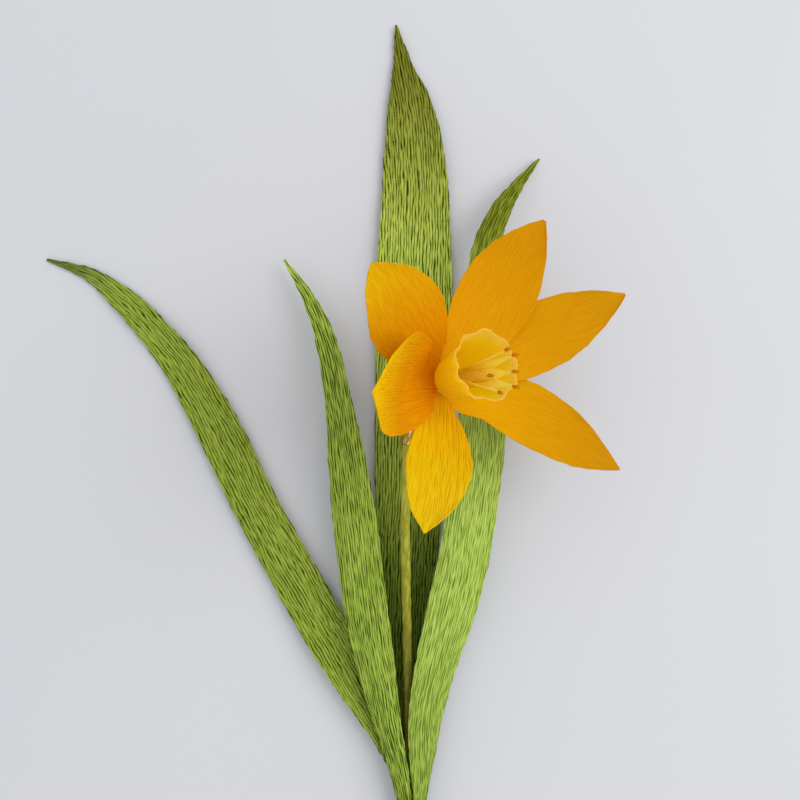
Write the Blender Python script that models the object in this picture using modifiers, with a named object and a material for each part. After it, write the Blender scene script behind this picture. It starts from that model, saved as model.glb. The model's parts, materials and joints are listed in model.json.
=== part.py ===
import math

import bmesh
import bpy
from mathutils import Vector

# A hand-made crepe paper daffodil lying on its back: X to the right, Y from the stem end to the leaf tips,
# Z up. Positions are in millimetres on a working frame; at the end the whole flower is moved to its origin.
MM = 0.001

PETAL_PAPER = 0.40
CUP_PAPER = 0.40
STRIP_PAPER = 0.35
LEAF_PAPER = 0.50
BRACT_PAPER = 0.45
BINDING_PAPER = 0.50
FIT_GAP = 0.30

WIRE_RADIUS = 0.60
WRAP_BORE = WIRE_RADIUS + FIT_GAP

# The bloom's frame: the foot of the flower, the way that the cup faces, and two directions across it.
BLOOM_FOOT = Vector((12.5, 4.9, 42.0))
CUP_AXIS = Vector((0.447, 0.185, 0.875)).normalized()
CUP_RIGHT = (Vector((1, 0, 0)) - CUP_AXIS * CUP_AXIS.x).normalized()
CUP_UP = CUP_AXIS.cross(CUP_RIGHT)

# The leaf feet nest round the stem in rings, each with its fitting gap, inside one paper binding that lies
# on the floor.
STEM_FOOT_RADIUS = 1.45
STEM_TOP_RADIUS = 1.55
NECK_TOP_RADIUS = 2.60
NECK_FLARE = 0.50
INNER_RING = STEM_FOOT_RADIUS + FIT_GAP + LEAF_PAPER / 2
MIDDLE_RING = INNER_RING + LEAF_PAPER + FIT_GAP
OUTER_RING = MIDDLE_RING + LEAF_PAPER + FIT_GAP
BINDING_BORE = OUTER_RING + LEAF_PAPER / 2 + FIT_GAP
BINDING_FROM = -178.0
BINDING_TO = -160.0
BED_HEIGHT = BINDING_BORE + BINDING_PAPER

# The wire's path from the cut end to the bloom. It ends square to the cup, just below the lowest petals.
STEM_X = 3.5
STEM_END = -215.0
NECK_LENGTH = 31.0
NECK_TOP = -1.2
NECK_STRAIGHT = 7.0
STEM_PATH = (
    (STEM_X, STEM_END, BED_HEIGHT),
    (STEM_X, -182.0, BED_HEIGHT),
    (STEM_X, -150.0, BED_HEIGHT),
    (3.1, -121.0, BED_HEIGHT + 0.9),
    (2.5, -83.0, 9.8),
    (1.8, -45.0, 14.6),
    (2.0, -26.0, 17.4),
    (2.8, -12.5, 21.0),
    (5.6, -2.6, 28.0),
    tuple(BLOOM_FOOT - CUP_AXIS * NECK_STRAIGHT),
    tuple(BLOOM_FOOT + CUP_AXIS * NECK_TOP),
)

# Petals, clockwise from the top one: azimuth at the foot and further out, length, half width, lean off the
# axis at foot and tip, layer, edge lift at foot and tip in mm, roll to one side in degrees, sideways bend at
# the tip in mm.
PETALS = (
    ("petal_1", 78, 59, 57, 12.2, 84, 50, 1.9, 1.2, 1.0, -9, 4.4),
    ("petal_2", 18, 27.5, 62.5, 10.9, 83, 44, 0.9, 0.9, 1.2, -3, 1.6),
    ("petal_3", -42, -8, 57.5, 10.7, 83, 66, 0.0, 0.9, 1.0, 0, -16.6),
    ("petal_4", 258, 259, 52.8, 9.8, 68, 54, 1.2, 1.6, 1.6, 8, -10.8),
    ("petal_5", 198, 194, 49.5, 13.0, 58, 40, 3.4, 3.0, 3.2, -27, 3.2),
    ("petal_6", 138, 141, 48.2, 13.2, 60, 49, 2.6, 1.4, 1.6, -7, 6.0),
)
PETAL_FOOT_RADIUS = 3.1
LAYER_STEP = PETAL_PAPER + FIT_GAP
FIRST_LAYER = NECK_TOP + FIT_GAP + PETAL_PAPER / 2
PETAL_OUTLINE = (
    (0.0, 0.30),
    (0.10, 0.42),
    (0.25, 0.72),
    (0.38, 0.93),
    (0.50, 1.0),
    (0.62, 0.97),
    (0.74, 0.82),
    (0.85, 0.57),
    (0.94, 0.27),
    (1.0, 0.03),
)
FOOT_WRAP = math.radians(28.5)
OUTER_WRAP = math.radians(46)
RIPPLE = 0.45

# Stamens: side of the wire that the strip starts on in degrees, tip height above the bloom's foot, tip offset
# across the cup to the right and up, turn of the strip in degrees. Their feet stand side by side in a ring
# round the wire.
STAMENS = (
    (110, 34.5, -0.2, 1.8, 10),
    (50, 35.5, 1.3, 0.4, 40),
    (-10, 34.0, 2.1, -3.5, 60),
    (-70, 33.0, 2.8, -7.2, 80),
    (-130, 31.0, -0.4, -8.6, 60),
    (170, 25.0, 0.3, -2.8, 30),
)
STRIP_HALF_WIDTH = 0.65
STRIP_TIP_SHARE = 0.65
STRIP_RING = len(STAMENS) * (2 * STRIP_HALF_WIDTH + FIT_GAP) / (2 * math.pi)
ANTHER_LENGTH = 2.8
ANTHER_RADIUS = 0.55

# The cup stands on the topmost petal: height above its own foot and radius, then its scalloped rim.
TOP_LAYER = max(row[7] for row in PETALS)
CUP_FOOT = FIRST_LAYER + TOP_LAYER * LAYER_STEP + PETAL_PAPER / 2 + FIT_GAP + CUP_PAPER / 4
CUP_FOOT_RADIUS = STRIP_RING + (STRIP_PAPER + CUP_PAPER) / 2 + FIT_GAP
CUP_SIDE = (
    (0.0, CUP_FOOT_RADIUS),
    (1.6, 4.1),
    (4.7, 5.9),
    (9.7, 7.0),
    (14.7, 7.7),
    (18.7, 8.2),
    (21.7, 9.0),
    (23.7, 9.9),
)
STRIP_FOOT = CUP_FOOT
WIRE_REACH = 3.0
CUP_LOBES = 9
CUP_RIM_WAVE = 0.5
CUP_RIM_NOTCH = 1.0

# Long pieces cut as one strip. A leaf's foot is bound to the stem: side of the stem in degrees about Y from
# +X towards +Z, ring radius, half width. Then rows of x, y, height of the underside, half width, side that it
# faces away from, and the radius that its section bends to.
TALL_FOOT = (275, MIDDLE_RING, 2.6)
TALL_LEAF = (
    (3.5, -147.0, 1.70, 3.1, 275, 3.8),
    (3.0, -136.0, 1.05, 3.7, 273, 5.6),
    (2.2, -120.0, 0.40, 4.6, 272, 9.5),
    (1.6, -103.0, 0.22, 6.2, 271, 14.0),
    (1.4, -85.0, 0.18, 8.2, 270, 22.0),
    (2.2, -60.0, 0.15, 10.6, 270, 34.0),
    (3.4, -36.0, 0.15, 12.3, 270, 42.0),
    (4.0, -14.0, 0.15, 13.0, 270, 45.0),
    (4.8, 18.0, 0.15, 13.8, 270, 45.0),
    (5.1, 43.0, 0.20, 13.6, 270, 42.0),
    (5.4, 64.0, 0.30, 12.5, 270, 38.0),
    (5.2, 82.0, 0.40, 11.4, 270, 34.0),
    (3.7, 103.0, 0.50, 8.2, 270, 28.0),
    (0.7, 120.0, 0.70, 3.2, 270, 20.0),
    (-1.4, 133.0, 0.90, 0.4, 270, 16.0),
)
FAR_LEFT_FOOT = (205, INNER_RING, 2.0)
FAR_LEFT_LEAF = (
    (1.2, -147.0, 3.65, 2.4, 208, 2.7),
    (0.1, -137.0, 3.55, 3.0, 214, 4.2),
    (-2.6, -126.0, 3.55, 4.2, 226, 7.0),
    (-6.8, -115.0, 3.40, 5.4, 239, 11.0),
    (-18.8, -94.0, 2.75, 7.5, 256, 22.0),
    (-29.4, -75.5, 2.35, 8.2, 265, 30.0),
    (-40.4, -56.3, 1.95, 8.2, 268, 34.0),
    (-51.4, -36.5, 1.55, 8.0, 270, 36.0),
    (-64.2, -10.2, 1.25, 7.8, 270, 34.0),
    (-76.4, 10.6, 1.05, 6.7, 270, 30.0),
    (-86.7, 23.8, 0.85, 5.6, 270, 26.0),
    (-98.0, 35.4, 0.65, 4.4, 270, 22.0),
    (-110.0, 44.4, 0.45, 2.4, 270, 18.0),
    (-125.6, 49.9, 0.15, 0.4, 270, 14.0),
)
LEFT_FOOT = (125, OUTER_RING, 2.5)
LEFT_LEAF = (
    (1.4, -148.0, 7.85, 2.7, 123, 4.1),
    (0.9, -138.0, 8.9, 3.0, 119, 5.0),
    (-1.1, -126.8, 10.0, 4.0, 112, 7.0),
    (-5.1, -109.3, 10.9, 5.5, 105, 10.5),
    (-9.6, -85.7, 11.75, 7.2, 99, 16.0),
    (-12.4, -68.0, 12.25, 7.8, 96, 20.0),
    (-15.3, -43.6, 12.35, 7.7, 94, 24.0),
    (-18.1, -21.2, 11.95, 6.5, 92, 24.0),
    (-21.2, 0.0, 10.95, 4.6, 90, 20.0),
    (-25.6, 20.7, 9.35, 3.6, 88, 16.0),
    (-31.9, 35.7, 7.35, 2.1, 85, 12.0),
    (-40.6, 49.0, 4.75, 0.4, 80, 10.0),
)
RIGHT_FOOT = (40, OUTER_RING, 2.5)
RIGHT_LEAF = (
    (6.7, -148.0, 7.3, 2.9, 44, 4.1),
    (7.8, -138.0, 8.3, 3.6, 50, 4.8),
    (8.6, -125.0, 9.7, 5.3, 60, 6.5),
    (9.7, -109.0, 11.2, 6.8, 69, 10.0),
    (12.8, -91.3, 12.35, 7.9, 76, 15.0),
    (17.4, -73.4, 13.35, 8.8, 81, 20.0),
    (21.6, -55.0, 14.25, 8.7, 85, 26.0),
    (24.8, -34.4, 15.15, 8.6, 88, 30.0),
    (27.3, -13.8, 15.95, 8.3, 90, 32.0),
    (28.5, 10.0, 16.35, 7.8, 90, 30.0),
    (28.6, 34.0, 15.35, 6.6, 90, 26.0),
    (29.4, 51.0, 13.35, 5.0, 90, 22.0),
    (34.3, 64.4, 10.55, 3.6, 90, 18.0),
    (41.6, 75.6, 5.95, 1.9, 90, 14.0),
    (49.3, 85.4, 1.15, 0.4, 90, 12.0),
)
# The bract clasps the joint of stem and neck from behind. Its rows past the clasp count from the joint.
BRACT_BELOW = 9.0
BRACT_FOOT_HALF = 2.0
BRACT = (
    (1.0, 12.0, -3.6, 4.2, 270, 5.2),
    (2.1, 21.0, -2.8, 4.3, 270, 7.0),
    (3.2, 29.0, -2.4, 3.4, 270, 9.0),
    (4.2, 36.0, -2.6, 1.8, 270, 9.0),
    (5.0, 42.0, -3.4, 0.3, 270, 9.0),
)
LEAF_WAVE = 0.5

PETAL_COLOUR = (0.870, 0.400, 0.010)
CUP_COLOUR = (0.880, 0.560, 0.110)
STRIP_COLOUR = (0.860, 0.600, 0.180)
ANTHER_COLOUR = (0.560, 0.190, 0.010)
NECK_COLOUR = (0.690, 0.540, 0.240)
BRACT_COLOUR = (0.430, 0.310, 0.010)
STEM_COLOUR = (0.190, 0.220, 0.030)
LEAF_COLOUR = (0.190, 0.350, 0.040)
WIRE_COLOUR = (0.560, 0.570, 0.580)


def clear():
    for thing in list(bpy.data.objects):
        bpy.data.objects.remove(thing)


def material(name, colour, roughness, metallic=0.0):
    made = bpy.data.materials.new(name)
    made.use_nodes = True
    shader = made.node_tree.nodes["Principled BSDF"]
    shader.inputs["Base Color"].default_value = (*colour, 1.0)
    shader.inputs["Roughness"].default_value = roughness
    shader.inputs["Metallic"].default_value = metallic
    made.diffuse_color = (*colour, 1.0)
    return made


def ease(x):
    x = min(max(x, 0.0), 1.0)
    return x * x * (3 - 2 * x)


def along_rows(rows, t):
    """The row at t from 0 to 1 of a smooth curve through rows of numbers."""
    place = min(max(t, 0.0), 1.0) * (len(rows) - 1)
    i = min(int(place), len(rows) - 2)
    f = place - i
    before, a, b, after = rows[max(i - 1, 0)], rows[i], rows[i + 1], rows[min(i + 2, len(rows) - 1)]
    found = []
    for p, q, r, s in zip(before, a, b, after):
        bend = (2 * p - 5 * q + 4 * r - s) * f * f + (3 * q - p - 3 * r + s) * f * f * f
        found.append(q + 0.5 * ((r - p) * f + bend))
    return found


def height_of(table, t):
    """The value at t of a line through (t, value) pairs."""
    for (t0, v0), (t1, v1) in zip(table, table[1:]):
        if t <= t1:
            return v0 + (v1 - v0) * (t - t0) / (t1 - t0)
    return table[-1][1]


def sheet(name, across, along, place, thickness, paint, closed=False):
    """A thin paper piece: a grid moved by place(u, v), u across and v along from 0 to 1, then given thickness."""
    mesh = bpy.data.meshes.new(name)
    work = bmesh.new()
    bmesh.ops.create_grid(work, x_segments=across, y_segments=along, size=0.5)
    for vertex in work.verts:
        vertex.co = place(vertex.co.x + 0.5, vertex.co.y + 0.5) * MM
    if closed:
        bmesh.ops.remove_doubles(work, verts=work.verts, dist=0.00001)
    bmesh.ops.recalc_face_normals(work, faces=work.faces)
    work.to_mesh(mesh)
    work.free()
    for face in mesh.polygons:
        face.use_smooth = True
    thing = bpy.data.objects.new(name, mesh)
    thickener = thing.modifiers.new("paper", "SOLIDIFY")
    thickener.thickness = thickness * MM
    thickener.offset = 0.0
    thing.data.materials.append(paint)
    return thing


def rod(name, points, radii, paint, sides=2):
    """A solid round rod through the points, closed at both ends."""
    curve = bpy.data.curves.new(name, "CURVE")
    curve.dimensions = "3D"
    curve.bevel_depth = MM
    curve.bevel_resolution = sides
    curve.use_fill_caps = True
    line = curve.splines.new("POLY")
    line.points.add(len(points) - 1)
    for spot, point, radius in zip(line.points, points, radii):
        spot.co = (*(point * MM), 1.0)
        spot.radius = radius
    thing = bpy.data.objects.new(name, curve)
    thing.data.materials.append(paint)
    return thing


def stem_lengths(steps=400):
    """Distance travelled along the wire at each of the steps."""
    travelled = [0.0]
    for i in range(steps):
        step = Vector(along_rows(STEM_PATH, (i + 1) / steps)) - Vector(along_rows(STEM_PATH, i / steps))
        travelled.append(travelled[-1] + step.length)
    return travelled


TRAVELLED = stem_lengths()
NECK_END = TRAVELLED[-1]
NECK_START = NECK_END - NECK_LENGTH


def stem_point(distance):
    """Point, direction and the wrap's outer radius at a distance from the cut end, straight past the neck."""
    steps = len(TRAVELLED) - 1
    i = 0
    while i < steps - 1 and TRAVELLED[i + 1] < distance:
        i += 1
    f = (distance - TRAVELLED[i]) / (TRAVELLED[i + 1] - TRAVELLED[i])
    t = min((i + f) / steps, 1.0)
    here = Vector(along_rows(STEM_PATH, t))
    ahead = Vector(along_rows(STEM_PATH, min(t + 0.002, 1.0)))
    ahead -= Vector(along_rows(STEM_PATH, max(t - 0.002, 0.0)))
    if distance > NECK_END:
        here = here + CUP_AXIS * (distance - NECK_END)
    bare = BINDING_TO - STEM_END
    swelled = ease((distance - bare) / (NECK_START - bare))
    radius = STEM_FOOT_RADIUS + (STEM_TOP_RADIUS - STEM_FOOT_RADIUS) * swelled
    radius += (NECK_TOP_RADIUS - STEM_TOP_RADIUS) * ease((distance - NECK_START) / NECK_LENGTH)
    return here, ahead.normalized(), radius


def ring(centre, forward, radius, angle):
    sideways = (Vector((1, 0, 0)) - forward * forward.x).normalized()
    upward = sideways.cross(forward)
    return centre + (sideways * math.cos(angle) + upward * math.sin(angle)) * radius


def wrap_tube(name, start, end, paint, rings, sides, flare=0.0):
    """A hollow paper wrap round the wire from start to end along it. The wall goes outwards from its bore."""

    def place(u, w, outside):
        centre, forward, radius = stem_point(start + (end - start) * w)
        wide = radius + flare * ease((w - 0.86) / 0.14) if outside else WRAP_BORE
        return ring(centre, forward, wide, 2 * math.pi * u)

    return tube(name, sides, rings, place, paint)


def tube(name, sides, rings, place, paint):
    """A closed wall from place(u, w, outside): rows run out along the bore and back along the outside."""
    mesh = bpy.data.meshes.new(name)
    work = bmesh.new()
    rows = 2 * (rings + 1)
    bmesh.ops.create_grid(work, x_segments=sides, y_segments=rows, size=0.5)
    for vertex in work.verts:
        row = round((vertex.co.y + 0.5) * rows) % rows
        outside = row > rings
        w = (rows - 1 - row) / rings if outside else row / rings
        vertex.co = place(vertex.co.x + 0.5, w, outside) * MM
    bmesh.ops.remove_doubles(work, verts=work.verts, dist=0.00001)
    bmesh.ops.recalc_face_normals(work, faces=work.faces)
    work.to_mesh(mesh)
    work.free()
    for face in mesh.polygons:
        face.use_smooth = True
    thing = bpy.data.objects.new(name, mesh)
    thing.data.materials.append(paint)
    return thing


def bound(foot):
    """The two rows of a leaf's foot inside the binding: on its ring round the stem."""
    side, radius, half = foot
    x = STEM_X + radius * math.cos(math.radians(side))
    z = BED_HEIGHT + radius * math.sin(math.radians(side)) - LEAF_PAPER / 2
    return ((x, BINDING_FROM + 1.0, z, half, side, radius), (x, BINDING_TO + 2.0, z, half, side, radius))


def clasp():
    """The bract's rows: two behind the stem on either side of its joint with the neck, then the blade."""
    rows = []
    for distance, half in ((NECK_START - BRACT_BELOW, BRACT_FOOT_HALF), (NECK_START, BRACT_FOOT_HALF * 1.2)):
        centre, forward, radius = stem_point(distance)
        apart = radius + FIT_GAP + BRACT_PAPER / 2
        drop = apart / forward.y + BRACT_PAPER / 2
        rows.append((centre.x, centre.y, centre.z - drop, half, 270, apart + 0.7))
    joint = stem_point(NECK_START)[0]
    for x, y, z, half, side, bend in BRACT:
        rows.append((joint.x + x, joint.y + y, joint.z + z, half, side, bend))
    return tuple(rows)


def strip(name, rows, across, along, thickness, paint, wave=0.0, phase=0.0):
    """A long strip of paper with a bent section, by rows of x, y, z, half width, side and bend radius."""

    def place(u, v):
        x, y, z, half, side, bend = along_rows(rows, v)
        z += thickness / 2
        ahead = Vector(along_rows(rows, v + 0.004)[:3]) - Vector(along_rows(rows, v - 0.004)[:3])
        ahead.normalize()
        angle = math.radians(side)
        inward = Vector((-math.cos(angle), 0.0, -math.sin(angle)))
        inward = (inward - ahead * inward.dot(ahead)).normalized()
        wide = ahead.cross(inward)
        w = (2 * u - 1) * half
        edge = abs(2 * u - 1)
        lift = wave * edge * edge * ease(half / 6) * math.sin(9 * math.pi * v + 3 * u + phase)
        turn = w / bend
        raised = inward * (bend * (1 - math.cos(turn)) + lift)
        return Vector((x, y, z)) + wide * (bend * math.sin(turn)) + raised

    return sheet(name, across, along, place, thickness, paint)


def petal(row, paint):
    name, foot, azimuth, length, half, lean_foot, lean_tip, layer, lift_foot, lift_tip, roll, sideways = row
    steps = 60
    spine = [(PETAL_FOOT_RADIUS, FIRST_LAYER + layer * LAYER_STEP)]
    leans = []
    for i in range(steps + 1):
        lean = math.radians(lean_foot + (lean_tip - lean_foot) * ease((i / steps) * 0.92 + 0.04))
        leans.append(lean)
    for i in range(steps):
        radius, high = spine[-1]
        outwards = math.sin(leans[i]) * length / steps
        upwards = math.cos(leans[i]) * length / steps
        spine.append((radius + outwards, high + upwards))

    def place(u, v):
        i = min(int(v * steps), steps - 1)
        f = v * steps - i
        radius = spine[i][0] * (1 - f) + spine[i + 1][0] * f
        high = spine[i][1] * (1 - f) + spine[i + 1][1] * f
        lean = leans[i] * (1 - f) + leans[i + 1] * f
        reach = height_of(PETAL_OUTLINE, v) * half
        reach = min(reach, radius * (FOOT_WRAP + (OUTER_WRAP - FOOT_WRAP) * ease((radius - 4) / 12)))
        w = (2 * u - 1) * reach
        edge = abs(2 * u - 1)
        # Near the foot the petal follows the ring round the cup; further out it spreads straight.
        wrap = 1 - ease((radius - 6) / 22)
        turn = w / radius * wrap
        straight = w * (1 - wrap)
        angle = math.radians(foot + (azimuth - foot) * ease(v * 4)) + turn
        outward = CUP_RIGHT * math.cos(angle) + CUP_UP * math.sin(angle)
        around = CUP_UP * math.cos(angle) - CUP_RIGHT * math.sin(angle)
        normal = CUP_AXIS * math.sin(lean) - outward * math.cos(lean)
        lift = lift_foot + (lift_tip - lift_foot) * v
        lift *= edge * edge * (reach / half) * ease(v * 3)
        swing = math.sin(5.5 * math.pi * v + 2.2 * u + layer + azimuth)
        lift += RIPPLE * edge * edge * edge * ease(v * 2.2 - 0.3) * swing
        tilt = math.tan(math.radians(roll)) * w * ease(v * 2)
        bend = sideways * v * v
        spot = BLOOM_FOOT + outward * radius + CUP_AXIS * high
        return spot + around * (straight + bend) + normal * (lift + tilt)

    return sheet(name, 8, 14, place, PETAL_PAPER, paint)


def cup(paint):
    def place(u, v):
        angle = 2 * math.pi * u
        high, radius = along_rows(CUP_SIDE, v)
        high += CUP_FOOT
        flare = ease((v - 0.55) / 0.45)
        wave = math.sin(CUP_LOBES * angle + 0.9 * math.sin(2 * angle))
        radius += CUP_RIM_WAVE * flare * wave
        notch = 0.5 + 0.5 * math.sin(CUP_LOBES * angle + 1.6)
        high -= CUP_RIM_NOTCH * flare * notch * (0.6 + 0.4 * math.sin(3 * angle))
        out = CUP_RIGHT * math.cos(angle) + CUP_UP * math.sin(angle)
        return BLOOM_FOOT + CUP_AXIS * high + out * radius

    return sheet("cup", 40, 8, place, CUP_PAPER, paint, closed=True)


def stamen(number, row, strip_paint, anther_paint):
    side, high, right, up, turn = row
    slot = math.radians(side)
    out = CUP_RIGHT * math.cos(slot) + CUP_UP * math.sin(slot)
    foot = BLOOM_FOOT + CUP_AXIS * STRIP_FOOT + out * STRIP_RING
    tip = BLOOM_FOOT + CUP_AXIS * high + CUP_RIGHT * right + CUP_UP * up
    across = tip - foot - CUP_AXIS * (high - STRIP_FOOT)
    middle = foot + CUP_AXIS * ((high - STRIP_FOOT) * 0.55) + across * 0.25

    def spine(t):
        return foot * (1 - t) * (1 - t) + middle * 2 * t * (1 - t) + tip * t * t

    def place(u, v):
        here = spine(v)
        ahead = (spine(v + 0.01) - spine(v - 0.01)).normalized()
        wide = ahead.cross(out).normalized()
        twist = math.radians(turn) * v * v
        turned = wide * math.cos(twist) + ahead.cross(wide) * math.sin(twist)
        return here + turned * (2 * u - 1) * STRIP_HALF_WIDTH * (1 - (1 - STRIP_TIP_SHARE) * v)

    strip_piece = sheet(f"filament_{number + 1}", 1, 8, place, STRIP_PAPER, strip_paint)
    way = (spine(1.0) - spine(0.97)).normalized()
    start = tip + way * (FIT_GAP / 2)
    spots = [start + way * (ANTHER_LENGTH * share) for share in (0.0, 0.15, 0.5, 0.85, 1.0)]
    radii = [ANTHER_RADIUS * share for share in (0.55, 0.95, 1.0, 0.85, 0.40)]
    tip_piece = rod(f"anther_{number + 1}", spots, radii, anther_paint, sides=1)
    return [strip_piece, tip_piece]


def binding(paint):
    def place(u, w, outside):
        angle = 2 * math.pi * u
        y = BINDING_FROM + (BINDING_TO - BINDING_FROM) * w
        radius = BINDING_BORE + (BINDING_PAPER if outside else 0.0)
        return Vector((STEM_X + radius * math.cos(angle), y, BED_HEIGHT + radius * math.sin(angle)))

    return tube("leaf_binding", 18, 2, place, paint)


def build():
    clear()
    scene = bpy.context.scene
    scene.unit_settings.system = "METRIC"
    scene.unit_settings.scale_length = 1.0
    parts = bpy.data.collections.new("paper flower")
    scene.collection.children.link(parts)

    petal_paint = material("petal_paper", PETAL_COLOUR, 0.75)
    cup_paint = material("cup_paper", CUP_COLOUR, 0.75)
    strip_paint = material("stamen_paper", STRIP_COLOUR, 0.75)
    anther_paint = material("anther_paper", ANTHER_COLOUR, 0.80)
    neck_paint = material("neck_paper", NECK_COLOUR, 0.80)
    bract_paint = material("bract_paper", BRACT_COLOUR, 0.80)
    stem_paint = material("stem_paper", STEM_COLOUR, 0.80)
    leaf_paint = material("leaf_paper", LEAF_COLOUR, 0.80)
    wire_paint = material("stem_wire", WIRE_COLOUR, 0.35, 1.0)

    wire_top = NECK_END - NECK_TOP + CUP_FOOT + WIRE_REACH
    wire_spots = [stem_point(wire_top * (1 - (1 - i / 32) ** 1.6))[0] for i in range(33)]
    made = [rod("stem_wire", wire_spots, [WIRE_RADIUS] * 33, wire_paint, sides=1)]
    made.append(wrap_tube("stem_wrap", 0.0, NECK_START - FIT_GAP, stem_paint, 25, 10))
    made.append(wrap_tube("neck_wrap", NECK_START, NECK_END, neck_paint, 10, 12, flare=NECK_FLARE))
    made.append(strip("bract", clasp(), 6, 12, BRACT_PAPER, bract_paint))

    for row in PETALS:
        made.append(petal(row, petal_paint))
    made.append(cup(cup_paint))
    for number, row in enumerate(STAMENS):
        made.extend(stamen(number, row, strip_paint, anther_paint))

    made.append(binding(leaf_paint))
    leaves = (
        ("tall_leaf", bound(TALL_FOOT) + TALL_LEAF, 36, 0.4),
        ("far_left_leaf", bound(FAR_LEFT_FOOT) + FAR_LEFT_LEAF, 36, 2.0),
        ("left_leaf", bound(LEFT_FOOT) + LEFT_LEAF, 33, 1.1),
        ("right_leaf", bound(RIGHT_FOOT) + RIGHT_LEAF, 36, 3.0),
    )
    for name, rows, along, phase in leaves:
        made.append(strip(name, rows, 6, along, LEAF_PAPER, leaf_paint, LEAF_WAVE, phase))

    for thing in made:
        parts.objects.link(thing)
    return made


def settle(made):
    """Moves the flower so that the middle of its box's bottom face is the origin."""
    bpy.context.view_layer.update()
    graph = bpy.context.evaluated_depsgraph_get()
    low = Vector((1e9, 1e9, 1e9))
    high = -low
    for thing in made:
        shape = thing.evaluated_get(graph).to_mesh()
        for vertex in shape.vertices:
            for axis in range(3):
                low[axis] = min(low[axis], vertex.co[axis])
                high[axis] = max(high[axis], vertex.co[axis])
        thing.evaluated_get(graph).to_mesh_clear()
    shift = Vector((-(low.x + high.x) / 2, -(low.y + high.y) / 2, -low.z))
    for thing in made:
        thing.location = shift
    print("shift_mm", [round(value / MM, 4) for value in shift])


settle(build())
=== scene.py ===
import json
import math

import bmesh
import bpy
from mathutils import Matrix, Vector, noise

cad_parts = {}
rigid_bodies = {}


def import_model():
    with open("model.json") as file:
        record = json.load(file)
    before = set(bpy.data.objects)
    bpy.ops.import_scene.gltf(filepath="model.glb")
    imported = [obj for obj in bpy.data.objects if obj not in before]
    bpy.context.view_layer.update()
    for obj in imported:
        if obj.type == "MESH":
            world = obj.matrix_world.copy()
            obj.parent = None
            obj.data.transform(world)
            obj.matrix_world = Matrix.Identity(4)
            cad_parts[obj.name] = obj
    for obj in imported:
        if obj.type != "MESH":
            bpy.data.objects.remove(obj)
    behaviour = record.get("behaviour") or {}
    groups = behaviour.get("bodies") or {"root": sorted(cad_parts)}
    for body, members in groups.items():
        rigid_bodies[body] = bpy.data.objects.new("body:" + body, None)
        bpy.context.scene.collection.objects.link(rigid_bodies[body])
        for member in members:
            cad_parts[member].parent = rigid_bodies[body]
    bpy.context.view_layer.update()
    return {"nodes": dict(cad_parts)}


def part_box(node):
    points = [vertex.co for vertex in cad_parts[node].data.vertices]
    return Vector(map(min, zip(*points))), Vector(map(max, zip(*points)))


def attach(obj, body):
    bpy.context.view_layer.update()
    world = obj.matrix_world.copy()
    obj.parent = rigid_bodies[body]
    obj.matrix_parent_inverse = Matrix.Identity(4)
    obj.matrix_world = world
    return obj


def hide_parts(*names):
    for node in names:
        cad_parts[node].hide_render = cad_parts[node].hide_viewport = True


# A crepe paper daffodil lying on its back. X runs to the right, Y from the stem's cut end to the leaf tips
# and Z up. Sizes are in millimetres on the flower's working frame, and move_home puts each piece where the
# frame has it.
MM = 0.001

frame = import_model()

# Paper thicknesses of the pieces that show, and the wire and wraps that carry them.
PETAL_PAPER = 0.26
CUP_PAPER = 0.24
STRIP_PAPER = 0.26
LEAF_PAPER = 0.30
BRACT_PAPER = 0.28
BAND_PAPER = 0.50
FIT_GAP = 0.30
WIRE_RADIUS = 0.60
WRAP_BORE = WIRE_RADIUS + FIT_GAP

# The thicker paper of the fixed frame, which the layers and rings are spaced by.
FRAME_PETAL = 0.40
FRAME_CUP = 0.40
FRAME_STRIP = 0.35
FRAME_LEAF = 0.50
FRAME_BRACT = 0.45

BLOOM_FOOT = Vector((12.5, 4.9, 42.0))
CUP_AXIS = Vector((0.447, 0.185, 0.875)).normalized()
CUP_RIGHT = (Vector((1, 0, 0)) - CUP_AXIS * CUP_AXIS.x).normalized()
CUP_UP = CUP_AXIS.cross(CUP_RIGHT)

STEM_FOOT_RADIUS = 1.45
STEM_TOP_RADIUS = 1.55
NECK_TOP_RADIUS = 2.60
NECK_FLARE = 0.50
INNER_RING = STEM_FOOT_RADIUS + FIT_GAP + FRAME_LEAF / 2
MIDDLE_RING = INNER_RING + FRAME_LEAF + FIT_GAP
OUTER_RING = MIDDLE_RING + FRAME_LEAF + FIT_GAP
BAND_BORE = OUTER_RING + FRAME_LEAF / 2 + FIT_GAP
BAND_FROM = -178.0
BAND_TO = -160.0
BED_HEIGHT = BAND_BORE + BAND_PAPER

STEM_X = 3.5
STEM_END = -215.0
NECK_LENGTH = 31.0
NECK_TOP = -1.2
NECK_STRAIGHT = 7.0
# The wire's path from its cut end to the bloom's foot: x, y and z.
STEM_PATH = (
    (STEM_X, STEM_END, BED_HEIGHT),
    (STEM_X, -182.0, BED_HEIGHT),
    (STEM_X, -150.0, BED_HEIGHT),
    (3.1, -121.0, BED_HEIGHT + 0.9),
    (2.5, -83.0, 9.8),
    (1.8, -45.0, 14.6),
    (2.0, -26.0, 17.4),
    (2.8, -12.5, 21.0),
    (5.6, -2.6, 28.0),
    tuple(BLOOM_FOOT - CUP_AXIS * NECK_STRAIGHT),
    tuple(BLOOM_FOOT + CUP_AXIS * NECK_TOP),
)

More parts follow.
